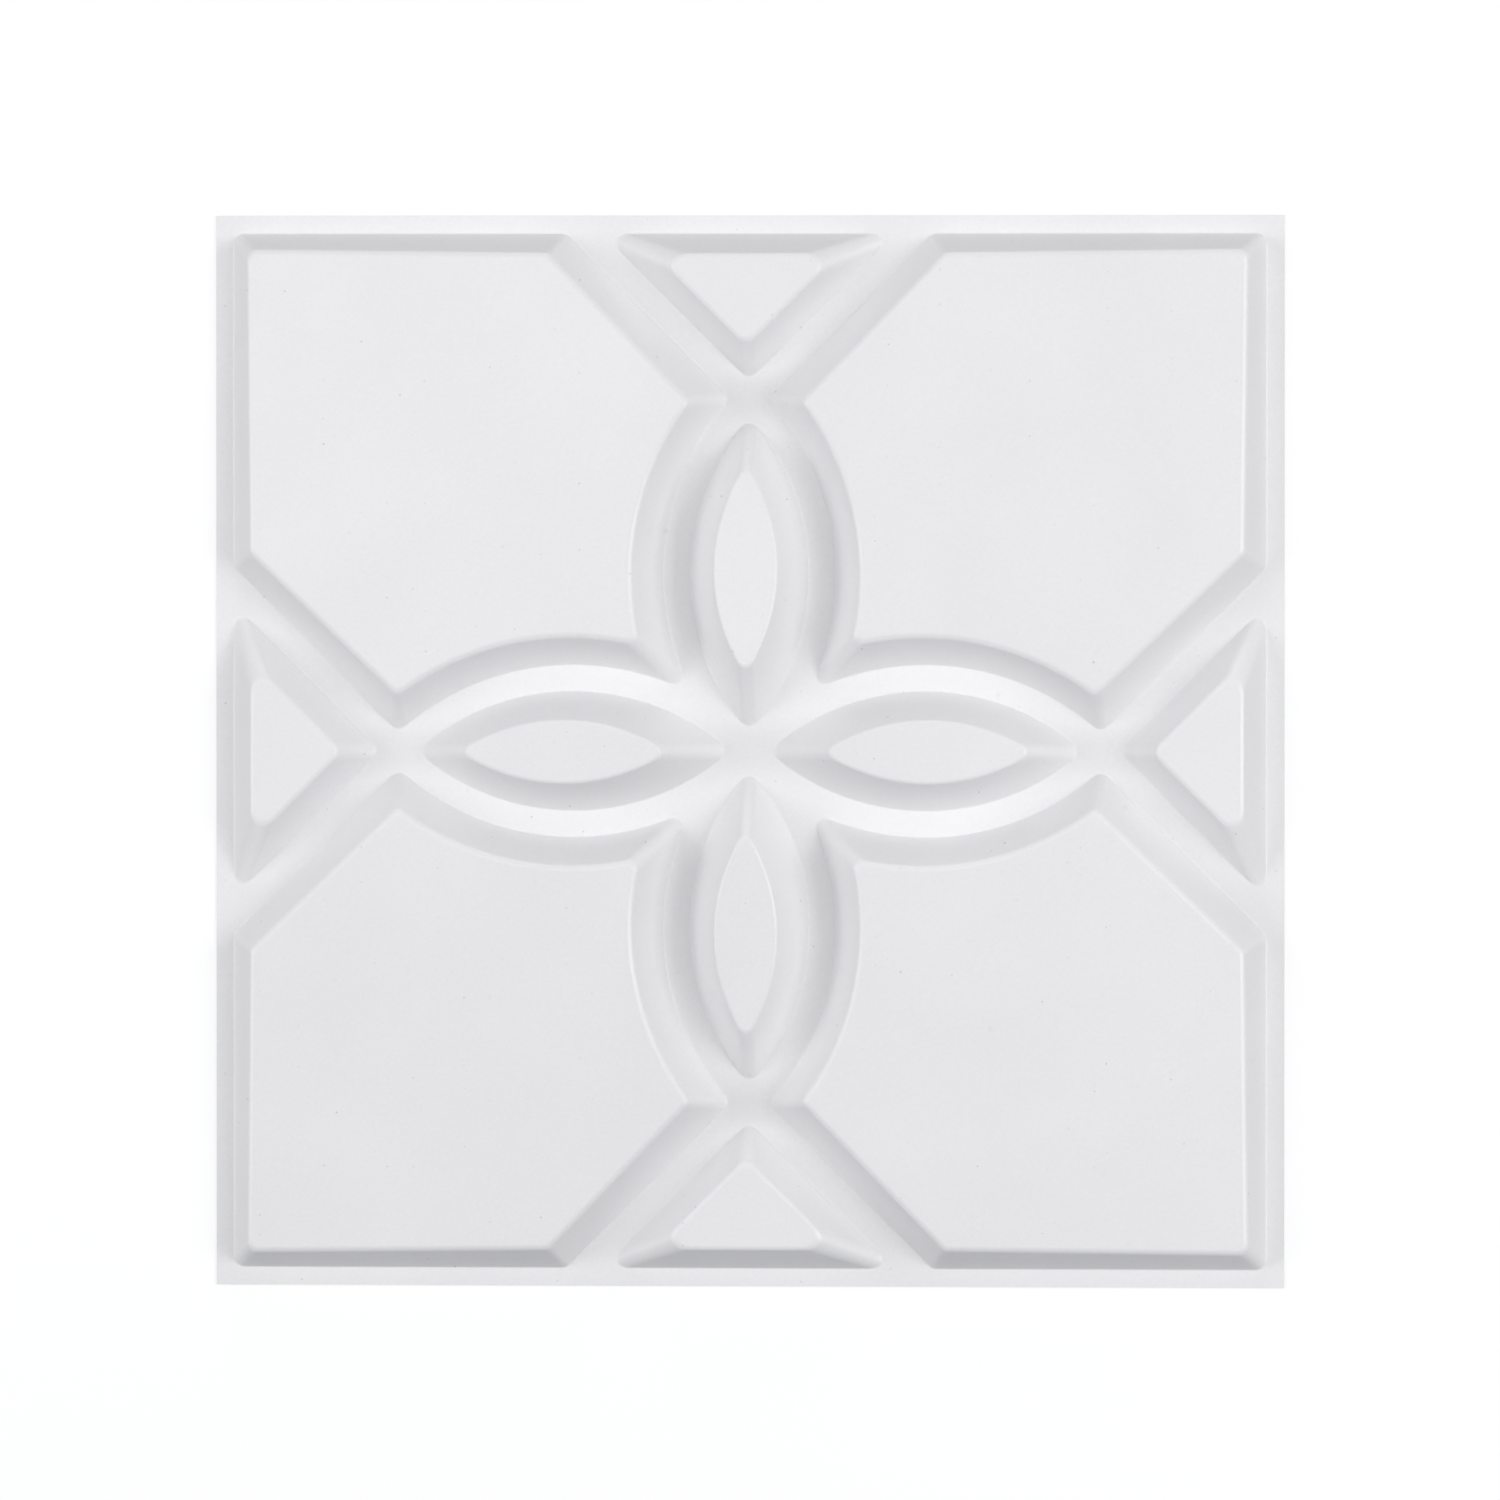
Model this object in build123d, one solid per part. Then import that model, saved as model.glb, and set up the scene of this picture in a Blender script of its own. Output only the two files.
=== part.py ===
from build123d import *
import os
from math import sqrt

# Square wall panel, one plastic sheet vacuum-formed into a raised relief with an open back.
# The panel lies on its back: x and y run along its edges and z points out of its face.
# All lengths are millimetres. Slopes are given as plan width for each unit of height.

# Sheet
panel_side = 500.0
sheet = 1.0
border = 8.5

# Plan of the relief, along the feet of the slopes
groove = 12.4
petal_start = 9.1
petal_end = 155.7

# Slopes of the raised fields
petal_slope = 0.57
lattice_slope = 0.6
border_slope = 0.49

# Heights above the flat border, with the fall of the fields that lean outwards
field_rise = 15.8
field_lean = 0.033
petal_rise = 23.4
petal_lean = 0.055
triangle_rise = 19.8

# Plan radius of the corners of the raised fields, on the face
corner_round = 4.9

border_foot = panel_side / 2 - border
# Four equal circles, one in each quarter, overlap in the four petals
circle_offset = (petal_start + petal_end) / 2
petal_radius = sqrt(circle_offset**2 + ((petal_end - petal_start) / 2) ** 2)
field_arc_radius = petal_radius + groove
# The lattice grooves cross at the outer tips of the petals
triangle_start = petal_end + groove * sqrt(2)
# The slopes run on past the tops and are trimmed by them, only just past where the top is level
slope_top = 1.3 * petal_rise
level_slope_top = 1.1 * triangle_rise


def set_in(slope, height, inset):
    """How far a side stands in from its foot line, at a height and a depth inside the sheet."""
    return slope * height + inset * sqrt(1 + slope * slope)


def corner_plan(height, inset):
    """Large field in the corner towards +x +y, between the border, the lattice and two petals."""
    edge = border_foot - set_in(border_slope, height, inset)
    lattice = petal_end - sqrt(2) * set_in(lattice_slope, height, inset)
    radius = field_arc_radius + set_in(petal_slope, height, inset)
    sides = Polyline(
        (0, 0),
        (lattice, 0),
        (edge, edge - lattice),
        (edge, edge),
        (edge - lattice, edge),
        (0, lattice),
        close=True,
    )
    plan = make_face(sides)
    plan -= Pos(circle_offset, -circle_offset) * Circle(radius)
    plan -= Pos(-circle_offset, circle_offset) * Circle(radius)
    return plan


def petal_plan(height, inset):
    """Pointed field towards +y, where two neighbouring circles overlap."""
    circle = Circle(petal_radius - set_in(petal_slope, height, inset))
    return Pos(-circle_offset, circle_offset) * circle & Pos(circle_offset, circle_offset) * circle


def triangle_plan(height, inset):
    """Small field at the middle of the +y edge, between the border and two lattice grooves."""
    edge = border_foot - set_in(border_slope, height, inset)
    tip = triangle_start + sqrt(2) * set_in(petal_slope, height, inset)
    return make_face(Polyline((0, tip), (edge - tip, edge), (tip - edge, edge), close=True))


def rounded_section(plan, level, inset):
    """Outline of a field at a level, with its corners rounded."""
    outline = plan(level - sheet, inset)
    return Pos(0, 0, level) * fillet(outline.vertices(), corner_round - inset)


def field(plan, reach, top, inset):
    """A field drawn up its slopes and trimmed by its top, from just below the back of the sheet."""
    sections = [rounded_section(plan, level, inset) for level in (-inset, reach)]
    return split(loft(sections, ruled=True), bisect_by=top.offset(-inset), keep=Keep.BOTTOM)


def fields(inset):
    """All the fields, whole for the face or set in by the sheet for the hollows behind them."""
    corner_top = Plane(
        origin=(border_foot, border_foot, sheet + field_rise),
        z_dir=(field_lean / sqrt(2), field_lean / sqrt(2), 1),
    )
    petal_top = Plane(origin=(0, circle_offset, sheet + petal_rise), z_dir=(0, petal_lean, 1))
    triangle_top = Plane(origin=(0, border_foot, sheet + triangle_rise))
    kinds = [
        field(corner_plan, slope_top, corner_top, inset),
        field(petal_plan, slope_top, petal_top, inset),
        field(triangle_plan, level_slope_top, triangle_top, inset),
    ]
    return [Rot(0, 0, 90 * turn) * kind for turn in range(4) for kind in kinds]


def wall_panel():
    plate = Box(panel_side, panel_side, sheet, align=(Align.CENTER, Align.CENTER, Align.MIN))
    return plate.fuse(*fields(0)).cut(*fields(sheet))


os.makedirs("parts", exist_ok=True)
panel = wall_panel()
panel.label = "wall_panel"
export_step(panel, "parts/wall_panel.step")
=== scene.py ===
import bpy
from math import acos, atan, cos, radians, sin, sqrt, tan
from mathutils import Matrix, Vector


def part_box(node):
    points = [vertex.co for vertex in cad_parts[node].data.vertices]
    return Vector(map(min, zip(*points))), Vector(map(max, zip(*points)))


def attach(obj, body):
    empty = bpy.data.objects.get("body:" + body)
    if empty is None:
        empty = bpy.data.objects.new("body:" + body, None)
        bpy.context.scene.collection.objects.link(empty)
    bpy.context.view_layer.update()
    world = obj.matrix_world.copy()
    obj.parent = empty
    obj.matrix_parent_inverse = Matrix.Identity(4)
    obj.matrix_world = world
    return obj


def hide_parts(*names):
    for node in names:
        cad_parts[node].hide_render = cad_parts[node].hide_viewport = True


# Square white PVC wall panel: one sheet vacuum-formed into raised fields, lying on its back.
# Lengths are metres, written as millimetres times MM. Heights count from the face of the border.

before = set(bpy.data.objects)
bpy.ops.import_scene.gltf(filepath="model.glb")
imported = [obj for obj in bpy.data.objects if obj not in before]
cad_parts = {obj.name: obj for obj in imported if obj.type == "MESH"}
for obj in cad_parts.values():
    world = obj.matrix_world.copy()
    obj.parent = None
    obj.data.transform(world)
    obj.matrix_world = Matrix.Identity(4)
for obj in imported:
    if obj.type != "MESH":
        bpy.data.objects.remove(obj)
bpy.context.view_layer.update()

MM = 0.001

# Sheet
panel_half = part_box("wall_panel")[1].x
sheet = 1.0 * MM
border = 8.5 * MM

# Plan of the relief, along the feet of the slopes
groove = 12.4 * MM
petal_start = 9.1 * MM
petal_end = 155.7 * MM

# Slopes, as plan width for each unit of height
petal_slope = 0.57
lattice_slope = 0.6
border_slope = 0.49

# Heights of the fields, with the fall of the fields that lean outwards
field_rise = 15.8 * MM
field_lean = 0.033
petal_rise = 23.4 * MM
petal_lean = 0.055
triangle_rise = 19.8 * MM

# Rounding of the face: radii of the hips between slopes, with their growth for each unit of height,
# of the crown round each top and of the foot of each slope
field_hip = 5.6 * MM
field_hip_spread = 0.0
petal_hip = 6.4 * MM
petal_hip_spread = -0.04
triangle_hip = 5.6 * MM
triangle_hip_spread = 0.12
field_crown = 3.8 * MM
petal_crown = 2.0 * MM
triangle_crown = 3.2 * MM
foot_round = 1.0 * MM
# How far the face turns over a crown
crown_turn = radians(60)

# Fineness of the mesh: points round a hip, along an arc and over a crown, and angles up a foot
hip_steps = 10
arc_steps = 60
crown_steps = 7
foot_angles = (0, 13, 26, 39, 52, 64)
smooth_angle = radians(40)
# Rounds after which a corner's point, and the lift of the ball that rounds it, no longer change
meet_rounds = 12
lift_rounds = 4

border_foot = panel_half - border
circle_offset = (petal_start + petal_end) / 2
petal_radius = sqrt(circle_offset**2 + ((petal_end - petal_start) / 2) ** 2)
field_arc_radius = petal_radius + groove
triangle_start = petal_end + groove * sqrt(2)
inner_tip = sqrt(field_arc_radius**2 / 2 - circle_offset**2)
# The slopes run on past the tops and are trimmed by them
slope_top = 1.3 * petal_rise


def slope_length(slope):
    """Length along a slope for each unit of height."""
    return sqrt(1 + slope * slope)


def foot_flare(height, slope):
    """How far the rounded foot stands out from the straight slope at a height."""
    steepness = atan(1 / slope)
    if height >= foot_round * (1 - cos(steepness)):
        return 0.0
    turned = acos(1 - height / foot_round)
    return slope * height + foot_round * (tan(steepness / 2) - sin(turned))


def straight_side(point, inward, slope, corner):
    """Side of a field along a line. Corner is about where it meets the next side."""
    point = Vector(point)
    inward = Vector(inward).normalized()

    def measure(place):
        return (place - point).dot(inward), inward

    return {"measure": measure, "slope": slope, "corner": Vector(corner), "steps": 1}


def round_side(centre, radius, way, slope, corner):
    """Side of a field along a circle, with the field outside it (way 1) or inside it (way -1)."""
    centre = Vector(centre)

    def measure(place):
        out = place - centre
        return way * (out.length - radius), way * out.normalized()

    return {"measure": measure, "slope": slope, "corner": Vector(corner), "steps": arc_steps}


def meet(side, after, depth, depth_after):
    """Plan point that lies so deep inside two neighbouring sides."""
    place = side["corner"]
    for _ in range(meet_rounds):
        inside, inward = side["measure"](place)
        inside_after, inward_after = after["measure"](place)
        short = depth - inside
        short_after = depth_after - inside_after
        move = Vector((
            short * inward_after.y - short_after * inward.y,
            short_after * inward.x - short * inward_after.x,
        ))
        place = place + move / inward.cross(inward_after)
    return place


def slope_normal(side, place):
    """Direction that a slope faces, outward and up."""
    inward = side["measure"](place)[1]
    return Vector((-inward.x, -inward.y, side["slope"])).normalized()


def hip_points(side, after, height, hip):
    """Rounded corner at a height, as a ball rolling between two slopes leaves it."""
    points = []
    for step in range(hip_steps + 1):
        share = step / hip_steps
        lift = 1 / sqrt(2)
        for _ in range(lift_rounds):
            ball_height = height - hip * lift
            ball = meet(
                side,
                after,
                side["slope"] * ball_height + hip * slope_length(side["slope"]),
                after["slope"] * ball_height + hip * slope_length(after["slope"]),
            )
            facing = slope_normal(side, ball).slerp(slope_normal(after, ball), share)
            lift = facing.z
        slope = side["slope"] + share * (after["slope"] - side["slope"])
        outward = facing.xy.normalized()
        points.append(ball + hip * facing.xy + foot_flare(height, slope) * outward)
    return points


def side_points(side, start, end, height):
    """Points between two corners, laid on the side."""
    depth = side["slope"] * height - foot_flare(height, side["slope"])
    points = []
    for step in range(1, side["steps"]):
        place = start.lerp(end, step / side["steps"])
        inside, inward = side["measure"](place)
        points.append(place + (depth - inside) * inward)
    return points


def outline(sides, height, hip):
    """Plan of a field at a height, anticlockwise, with as many points at any height."""
    hips = [hip_points(side, after, height, hip) for side, after in zip(sides, sides[1:] + sides[:1])]
    ring = []
    for index, side in enumerate(sides):
        ring += side_points(side, hips[index - 1][-1], hips[index][0], height)
        ring += hips[index]
    return ring


def lay_ring(field, ring, height):
    """Lays the selected loop of a mesh on an outline."""
    bpy.ops.object.mode_set(mode="OBJECT")
    loop = [vertex for vertex in field.data.vertices if vertex.select]
    for vertex, place in zip(loop, ring):
        vertex.co = (place.x, place.y, sheet + height)
    bpy.ops.object.mode_set(mode="EDIT")


def raised_field(sides, top_point, top_normal, hip, hip_spread, crown):
    """Open shell of one field: a loop at the foot, drawn up the slopes and trimmed by the top."""
    heights = [foot_round * (1 - cos(radians(angle))) for angle in foot_angles] + [slope_top]
    rings = [outline(sides, height, hip + hip_spread * height) for height in heights]
    bpy.ops.object.select_all(action="DESELECT")
    bpy.ops.mesh.primitive_circle_add(vertices=len(rings[0]), radius=panel_half)
    field = bpy.context.object
    lay_ring(field, rings[0], heights[0])
    for ring, height in zip(rings[1:], heights[1:]):
        bpy.ops.mesh.extrude_region()
        lay_ring(field, ring, height)
    bpy.ops.mesh.select_all(action="SELECT")
    bpy.ops.mesh.bisect(plane_co=top_point, plane_no=top_normal, use_fill=True, clear_outer=True)
    bpy.ops.mesh.bevel(
        offset=crown * tan(crown_turn / 2),
        segments=crown_steps,
        clamp_overlap=False,
    )
    bpy.ops.object.mode_set(mode="OBJECT")
    return field


def corner_field():
    """Large field towards +x +y, between two petals, two lattice grooves and the border."""
    right_circle = (circle_offset, -circle_offset)
    left_circle = (-circle_offset, circle_offset)
    sides = [
        round_side(right_circle, field_arc_radius, 1, petal_slope, (petal_end, 0)),
        straight_side((petal_end, 0), (-1, 1), lattice_slope, (border_foot, border_foot - petal_end)),
        straight_side((border_foot, 0), (-1, 0), border_slope, (border_foot, border_foot)),
        straight_side((0, border_foot), (0, -1), border_slope, (border_foot - petal_end, border_foot)),
        straight_side((0, petal_end), (1, -1), lattice_slope, (0, petal_end)),
        round_side(left_circle, field_arc_radius, 1, petal_slope, (inner_tip, inner_tip)),
    ]
    top_point = (border_foot, border_foot, sheet + field_rise)
    top_normal = (field_lean / sqrt(2), field_lean / sqrt(2), 1)
    return raised_field(sides, top_point, top_normal, field_hip, field_hip_spread, field_crown)


def petal():
    """Pointed field towards +y, where two neighbouring circles overlap."""
    sides = [
        round_side((-circle_offset, circle_offset), petal_radius, -1, petal_slope, (0, petal_end)),
        round_side((circle_offset, circle_offset), petal_radius, -1, petal_slope, (0, petal_start)),
    ]
    top_point = (0, circle_offset, sheet + petal_rise)
    top_normal = (0, petal_lean, 1)
    return raised_field(sides, top_point, top_normal, petal_hip, petal_hip_spread, petal_crown)


def edge_triangle():
    """Small field at the middle of the +y edge, between two lattice grooves and the border."""
    half_base = border_foot - triangle_start
    sides = [
        straight_side((0, triangle_start), (-1, 1), petal_slope, (half_base, border_foot)),
        straight_side((0, border_foot), (0, -1), border_slope, (-half_base, border_foot)),
        straight_side((0, triangle_start), (1, 1), petal_slope, (0, triangle_start)),
    ]
    top_point = (0, border_foot, sheet + triangle_rise)
    top_normal = (0, 0, 1)
    return raised_field(sides, top_point, top_normal, triangle_hip, triangle_hip_spread, triangle_crown)


def quarter_turns(field):
    """The field and its copies round the middle of the panel."""
    fields = [field]
    for turn in (1, 2, 3):
        bpy.ops.object.select_all(action="DESELECT")
        field.select_set(True)
        bpy.context.view_layer.objects.active = field
        bpy.ops.object.duplicate()
        copy = bpy.context.object
        copy.rotation_euler.z = radians(90 * turn)
        bpy.ops.object.transform_apply(rotation=True)
        fields.append(copy)
    return fields


def apply_modifier(piece, kind, settings):
    modifier = piece.modifiers.new(kind.lower(), kind)
    for name, value in settings.items():
        setattr(modifier, name, value)
    bpy.ops.object.modifier_apply(modifier=modifier.name)


def formed_sheet():
    """The whole sheet: the fields set in one flat face, given its thickness towards the back."""
    fields = quarter_turns(corner_field()) + quarter_turns(petal()) + quarter_turns(edge_triangle())
    bpy.ops.object.select_all(action="DESELECT")
    bpy.ops.mesh.primitive_plane_add(size=2 * panel_half, location=(0, 0, sheet))
    bpy.ops.object.transform_apply(location=True)
    panel = bpy.context.object
    bpy.ops.object.mode_set(mode="EDIT")
    bpy.ops.mesh.delete(type="ONLY_FACE")
    bpy.ops.object.mode_set(mode="OBJECT")
    for field in fields:
        field.select_set(True)
    bpy.ops.object.join()
    bpy.ops.object.mode_set(mode="EDIT")
    bpy.ops.mesh.select_mode(type="EDGE")
    bpy.ops.mesh.select_all(action="DESELECT")
    bpy.ops.mesh.select_non_manifold(use_multi_face=False, use_non_contiguous=False, use_verts=False)
    bpy.ops.mesh.fill()
    bpy.ops.mesh.select_all(action="SELECT")
    bpy.ops.mesh.normals_make_consistent(inside=False)
    bpy.ops.object.mode_set(mode="OBJECT")
    apply_modifier(panel, "SOLIDIFY", {
        "thickness": sheet,
        "offset": -1,
        "use_even_offset": True,
        "use_quality_normals": True,
    })
    bpy.ops.object.shade_smooth_by_angle(angle=smooth_angle)
    apply_modifier(panel, "WEIGHTED_NORMAL", {"keep_sharp": True})
    panel.name = "wall_panel_sheet"
    return panel


panel = formed_sheet()
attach(panel, "root")
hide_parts("wall_panel")


def linear(hex_code):
    """Linear colour of an sRGB hex code."""
    channels = [int(hex_code[place:place + 2], 16) / 255 for place in (1, 3, 5)]
    return [c / 12.92 if c <= 0.04045 else ((c + 0.055) / 1.055) ** 2.4 for c in channels] + [1.0]


def new_material(name):
    material = bpy.data.materials.new(name)
    material.use_nodes = True
    material.node_tree.nodes.clear()
    return material


def add(tree, kind, settings=None):
    """Adds a node. Settings are its properties and, by name or place, its inputs: a constant, or
    the output of another node to be linked there."""
    node = tree.nodes.new(kind)
    for name, value in (settings or {}).items():
        if isinstance(value, bpy.types.NodeSocket):
            tree.links.new(value, node.inputs[name])
        elif isinstance(name, int) or name in node.inputs:
            node.inputs[name].default_value = value
        else:
            setattr(node, name, value)
    return node


def calculate(tree, operation, first, second):
    node = add(tree, "ShaderNodeMath", {"operation": operation, 0: first, 1: second})
    return node.outputs["Value"]


def spread(tree, value, low, high):
    """A value from 0 to 1, spread from low to high."""
    node = add(tree, "ShaderNodeMapRange", {"Value": value, "To Min": low, "To Max": high})
    return node.outputs["Result"]


def noise(tree, place, size, detail):
    """Soft random pattern from 0 to 1, with features of about one size."""
    node = add(tree, "ShaderNodeTexNoise", {"Vector": place, "Scale": 1 / size, "Detail": detail})
    return node.outputs["Fac"]


def mix_colours(tree, share, first, second):
    """Colour on the way from one to another."""
    node = add(tree, "ShaderNodeMix", {"data_type": "RGBA", 0: share, 6: first, 7: second})
    return node.outputs[2]


def scattered_marks(tree, place, spacing, share, radii, strengths):
    """Round marks at random, in a share of the cells of a grid: how strongly each point is marked.
    Radii and strengths are the least and the most, and the strongest marks are rare."""
    cells = add(tree, "ShaderNodeTexVoronoi", {
        "voronoi_dimensions": "2D",
        "Vector": place,
        "Scale": 1 / spacing,
    }).outputs
    chance = add(tree, "ShaderNodeSeparateColor", {"Color": cells["Color"]}).outputs
    marked = calculate(tree, "LESS_THAN", chance["Red"], share)
    disc = add(tree, "ShaderNodeMapRange", {
        "interpolation_type": "SMOOTHSTEP",
        "Value": cells["Distance"],
        "From Max": spread(tree, chance["Green"], radii[0] / spacing, radii[1] / spacing),
        "To Min": 1,
        "To Max": 0,
    }).outputs["Result"]
    strength = spread(tree, calculate(tree, "POWER", chance["Blue"], 3), strengths[0], strengths[1])
    return calculate(tree, "MULTIPLY", calculate(tree, "MULTIPLY", marked, disc), strength)


def formed_pvc():
    """Rigid white PVC sheet, vacuum-formed: a satin white that is almost even, because the sheet
    was drawn thinner in places, with a fine grain, small specks of dust pressed in while it was
    soft and a few faint round spots."""
    material = new_material("vacuum_formed_white_pvc")
    tree = material.node_tree
    place = add(tree, "ShaderNodeTexCoord").outputs["Object"]
    stretch = noise(tree, place, 70 * MM, 2)
    # The real grain is finer than this and would not show
    grain = noise(tree, place, 1.5 * MM, 2)
    sheen = noise(tree, place, 18 * MM, 3)
    specks = scattered_marks(
        tree,
        place,
        spacing=6 * MM,
        share=0.09,
        radii=(0.3 * MM, 0.8 * MM),
        strengths=(0.04, 0.5),
    )
    spots = scattered_marks(
        tree,
        place,
        spacing=55 * MM,
        share=0.4,
        radii=(1.2 * MM, 1.9 * MM),
        strengths=(0.03, 0.12),
    )
    # Stretch and grain have equal parts in the shade of the white
    shade = add(tree, "ShaderNodeMix", {0: 0.5, 2: stretch, 3: grain}).outputs[0]
    white = mix_colours(tree, shade, linear("#E4E3E4"), linear("#F3F2F3"))
    dust = linear("#6E6E70")
    speckled = mix_colours(tree, specks, white, dust)
    spotted = mix_colours(tree, spots, speckled, dust)
    bump = add(tree, "ShaderNodeBump", {"Strength": 0.6, "Distance": 0.05 * MM, "Height": grain})
    shader = add(tree, "ShaderNodeBsdfPrincipled", {
        "IOR": 1.53,
        "Base Color": spotted,
        "Roughness": spread(tree, sheen, 0.34, 0.44),
        "Normal": bump.outputs["Normal"],
    })
    add(tree, "ShaderNodeOutputMaterial", {"Surface": shader.outputs["BSDF"]})
    return material


panel.data.materials.clear()
panel.data.materials.append(formed_pvc())

# Studio: a large floor, lifted to white where it is seen, square lamps far off and an even sky
floor_size = 40.0
floor_lift = 0.62
lamp_size = 1.0
lamp_distance = 2.5
sky_light = 0.27


def seen_directly(tree):
    """1 for what the camera sees, also mirrored or through glass, and 0 for light on its way."""
    rays = add(tree, "ShaderNodeLightPath").outputs
    seen = calculate(tree, "MAXIMUM", rays["Is Camera Ray"], rays["Is Glossy Ray"])
    return calculate(tree, "MAXIMUM", seen, rays["Is Transmission Ray"])


def floor_paint():
    """Matt paint of a middle tone, lifted to white where it is seen, that keeps the panel's shadow."""
    material = new_material("matt_floor_paint")
    tree = material.node_tree
    paint = add(tree, "ShaderNodeBsdfPrincipled", {
        "Base Color": linear("#AEAEAE"),
        "Roughness": 0.9,
        "Specular IOR Level": 0,
    })
    glow = add(tree, "ShaderNodeEmission", {
        "Color": linear("#FFFFFF"),
        "Strength": calculate(tree, "MULTIPLY", seen_directly(tree), floor_lift),
    })
    both = add(tree, "ShaderNodeAddShader", {0: paint.outputs["BSDF"], 1: glow.outputs["Emission"]})
    add(tree, "ShaderNodeOutputMaterial", {"Surface": both.outputs["Shader"]})
    return material


def white_floor():
    bpy.ops.object.select_all(action="DESELECT")
    bpy.ops.mesh.primitive_plane_add(size=floor_size)
    floor = bpy.context.object
    floor.name = "floor"
    floor.data.materials.append(floor_paint())
    return floor


white_floor()


def soft_light(name, azimuth, elevation, power):
    """Square lamp that faces the middle of the panel. Azimuth 0 is +x and 90 is +y."""
    away = Vector((
        cos(radians(elevation)) * cos(radians(azimuth)),
        cos(radians(elevation)) * sin(radians(azimuth)),
        sin(radians(elevation)),
    ))
    lamp = bpy.data.lights.new(name, "AREA")
    lamp.size = lamp_size
    lamp.energy = power
    light = bpy.data.objects.new(name, lamp)
    light.location = lamp_distance * away
    light.rotation_euler = away.to_track_quat("Z", "Y").to_euler()
    light.visible_camera = False
    bpy.context.scene.collection.objects.link(light)


soft_light("light_right_low", 0, 38, 15.0)
soft_light("light_right_high", 0, 52, 15.8)
soft_light("light_left_low", 180, 25, 6.6)
soft_light("light_left_high", 180, 38, 14.6)
soft_light("light_far_low", 90, 12, 7.6)
soft_light("light_far_left_high", 135, 70, 9.4)


def plain_studio():
    """Even, slightly cool light from all round, seen as white."""
    world = bpy.data.worlds.new("plain_studio")
    world.use_nodes = True
    tree = world.node_tree
    tree.nodes.clear()
    seen = seen_directly(tree)
    sky = add(tree, "ShaderNodeBackground", {
        "Color": mix_colours(tree, seen, linear("#F3F7FF"), linear("#FFFFFF")),
        "Strength": spread(tree, seen, sky_light, 1.0),
    })
    add(tree, "ShaderNodeOutputWorld", {"Surface": sky.outputs["Background"]})
    return world


bpy.context.scene.world = plain_studio()

# Camera: far above the panel, a little to its right and less to its far side
view_width = 700.3 * MM
view_distance = 8.0
tilt_right = radians(4.3)
tilt_far = radians(1.1)
view_middle = Vector((0.3 * MM, 0.5 * MM, 0))
camera_data = bpy.data.cameras.new("camera")
camera_data.sensor_width = 36
camera_data.lens = camera_data.sensor_width * view_distance / view_width
camera_data.clip_end = 100
camera = bpy.data.objects.new("camera", camera_data)
camera.location = view_middle + view_distance * Vector((
    sin(tilt_right) * cos(tilt_far),
    sin(tilt_far),
    cos(tilt_right) * cos(tilt_far),
))
camera.rotation_euler = (-tilt_far, tilt_right, 0)
bpy.context.scene.collection.objects.link(camera)
bpy.context.scene.camera = camera
bpy.context.scene.view_settings.view_transform = "Standard"
